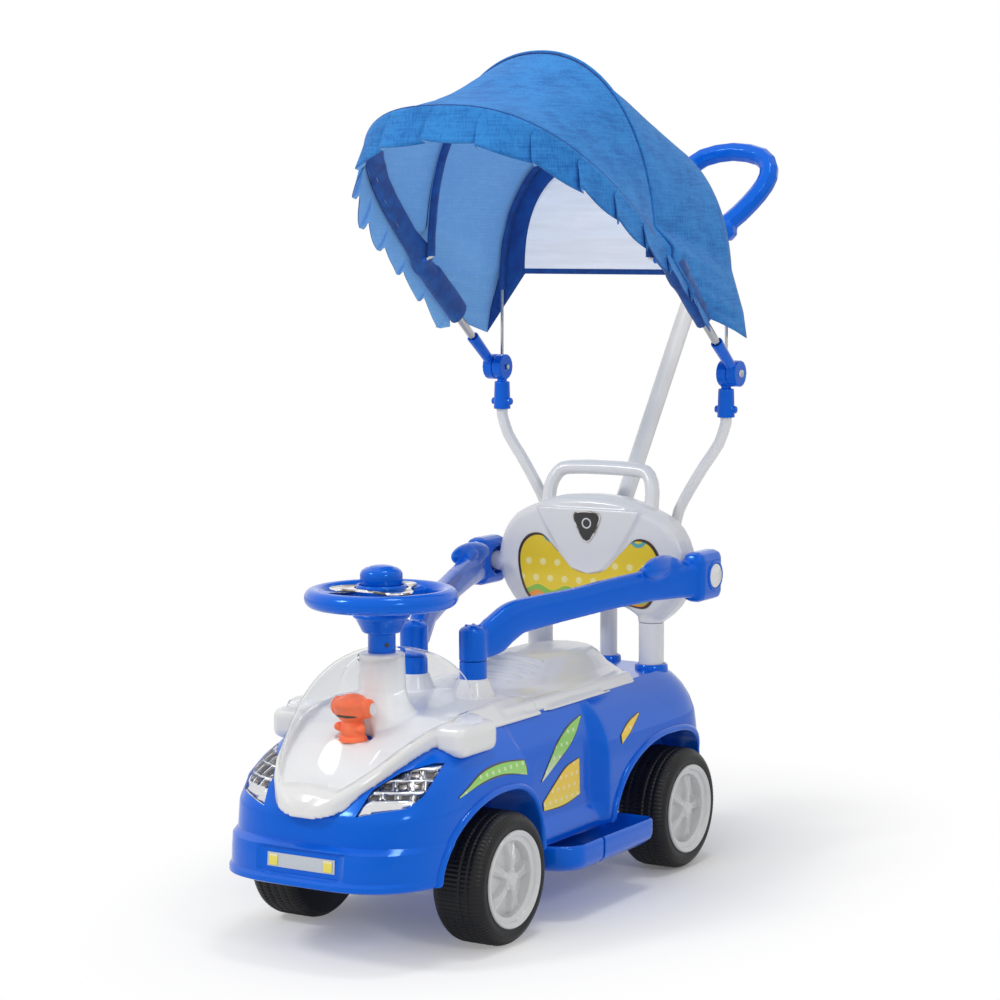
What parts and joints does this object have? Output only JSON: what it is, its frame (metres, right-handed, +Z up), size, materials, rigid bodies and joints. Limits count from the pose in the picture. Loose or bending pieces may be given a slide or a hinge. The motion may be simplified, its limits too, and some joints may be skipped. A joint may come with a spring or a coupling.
{
  "type": "foot-to-floor ride-on car",
  "caption": "Child's foot-to-floor ride-on car with steering wheel, bubble windshield, swing-out guard arms, backrest, raked parent push handle and folding fabric sun canopy.",
  "frame": {"origin": "on the floor, under the middle of the overall length and width", "axes": "-Y towards the front of the car, +X towards its left side, +Z up"},
  "size_m": [0.3955, 1.0477, 0.9998],
  "materials": {
    "blue_plastic": "glossy",
    "white_plastic": "glossy",
    "black_tyre": "satin",
    "black_plastic": "satin",
    "steel": "polished",
    "painted_tube": "satin",
    "chrome": "mirror",
    "clear_plastic": "clear",
    "orange_plastic": "translucent",
    "canopy_cloth": "woven"
  },
  "bodies": {
    "base": {"back_post_left": "white_plastic", "back_post_right": "white_plastic", "backrest": "white_plastic", "body_shell": "blue_plastic", "canopy_stand_left": "painted_tube", "canopy_stand_right": "painted_tube", "dash_toy": "orange_plastic", "floor_pan": "blue_plastic", "footrest_left": "blue_plastic", "footrest_right": "blue_plastic", "front_cowl": "white_plastic", "front_frame": "black_plastic", "guard_post_left": "blue_plastic", "guard_post_right": "blue_plastic", "headlight_lens_left": "clear_plastic", "headlight_lens_right": "clear_plastic", "headlight_reflector_left": "chrome", "headlight_reflector_right": "chrome", "hinge_screw_left": "steel", "hinge_screw_right": "steel", "lower_hinge_left": "blue_plastic", "lower_hinge_right": "blue_plastic", "push_grip": "blue_plastic", "push_tube": "painted_tube", "rear_axle": "steel", "rear_bow": "steel", "seat": "white_plastic", "side_lamp_left": "clear_plastic", "side_lamp_right": "clear_plastic", "windshield": "clear_plastic"},
    "steering": {"steering_shaft": "steel", "steering_column": "blue_plastic", "steering_wheel": "blue_plastic", "wheel_trim": "chrome"},
    "horn": {"horn_button": "blue_plastic"},
    "knuckle_left": {"knuckle_left": "steel"},
    "knuckle_right": {"knuckle_right": "steel"},
    "tie_rod": {"tie_rod": "steel"},
    "wheel_front_left": {"tyre_front_left": "black_tyre", "hubcap_front_left": "white_plastic"},
    "wheel_front_right": {"tyre_front_right": "black_tyre", "hubcap_front_right": "white_plastic"},
    "wheel_rear_left": {"tyre_rear_left": "black_tyre", "hubcap_rear_left": "white_plastic"},
    "wheel_rear_right": {"tyre_rear_right": "black_tyre", "hubcap_rear_right": "white_plastic"},
    "guard_left": {"guard_arm_left": "blue_plastic"},
    "guard_right": {"guard_arm_right": "blue_plastic"},
    "button_left": {"guard_button_left": "white_plastic"},
    "button_right": {"guard_button_right": "white_plastic"},
    "canopy": {"upper_hinge_left": "blue_plastic", "upper_hinge_right": "blue_plastic", "front_bow": "steel", "middle_bow": "steel", "bow_clip_left": "blue_plastic", "bow_clip_right": "blue_plastic", "canopy_cloth": "canopy_cloth"}
  },
  "joints": [
    {"name": "steering_turn", "type": "hinge", "parent": "base", "child": "steering", "pos_m": [0, -0.3564, 0.2], "axis": [0, 0, 1], "range_deg": [-12, 12]},
    {"name": "horn_press", "type": "slide", "parent": "steering", "child": "horn", "axis": [0, 0, -1], "range_m": [0, 0.003], "stiffness_N_per_m": 400, "springref_m": -0.003},
    {"name": "knuckle_left_turn", "type": "hinge", "parent": "base", "child": "knuckle_left", "pos_m": [0.078, -0.3289, 0.1], "axis": [0, 0, 1], "range_deg": [-12, 12]},
    {"name": "knuckle_right_turn", "type": "hinge", "parent": "base", "child": "knuckle_right", "pos_m": [-0.078, -0.3289, 0.1], "axis": [0, 0, 1], "range_deg": [-12, 12]},
    {"name": "tie_rod_pivot", "type": "hinge", "parent": "knuckle_left", "child": "tie_rod", "pos_m": [0.078, -0.2939, 0.0765], "axis": [0, 0, 1], "range_deg": [-12, 12]},
    {"name": "wheel_front_left_spin", "type": "hinge", "parent": "knuckle_left", "child": "wheel_front_left", "pos_m": [0.124, -0.3289, 0.075], "axis": [1, 0, 0], "continuous": true},
    {"name": "wheel_front_right_spin", "type": "hinge", "parent": "knuckle_right", "child": "wheel_front_right", "pos_m": [-0.124, -0.3289, 0.075], "axis": [1, 0, 0], "continuous": true},
    {"name": "wheel_rear_left_spin", "type": "hinge", "parent": "base", "child": "wheel_rear_left", "pos_m": [0.124, 0.0881, 0.075], "axis": [1, 0, 0], "continuous": true},
    {"name": "wheel_rear_right_spin", "type": "hinge", "parent": "base", "child": "wheel_rear_right", "pos_m": [-0.124, 0.0881, 0.075], "axis": [1, 0, 0], "continuous": true},
    {"name": "guard_left_swing", "type": "hinge", "parent": "base", "child": "guard_left", "pos_m": [0.0406, -0.2304, 0.3], "axis": [0, 0, -1], "range_deg": [0, 95]},
    {"name": "guard_right_swing", "type": "hinge", "parent": "base", "child": "guard_right", "pos_m": [-0.0406, -0.2304, 0.3], "axis": [0, 0, 1], "range_deg": [0, 95]},
    {"name": "button_left_press", "type": "slide", "parent": "guard_left", "child": "button_left", "axis": [-1, 0, 0], "range_m": [0, 0.004], "stiffness_N_per_m": 400, "springref_m": -0.002},
    {"name": "button_right_press", "type": "slide", "parent": "guard_right", "child": "button_right", "axis": [1, 0, 0], "range_m": [0, 0.004], "stiffness_N_per_m": 400, "springref_m": -0.002},
    {"name": "canopy_fold", "type": "hinge", "parent": "base", "child": "canopy", "pos_m": [0, 0.1666, 0.611], "axis": [-1, 0, 0], "range_deg": [0, 20], "deforming": ["canopy_cloth"]}
  ],
  "couplings": [
    {"joint": "knuckle_left_turn", "follows": "steering_turn", "ratio": 1},
    {"joint": "knuckle_right_turn", "follows": "steering_turn", "ratio": 1},
    {"joint": "tie_rod_pivot", "follows": "steering_turn", "ratio": -1}
  ]
}
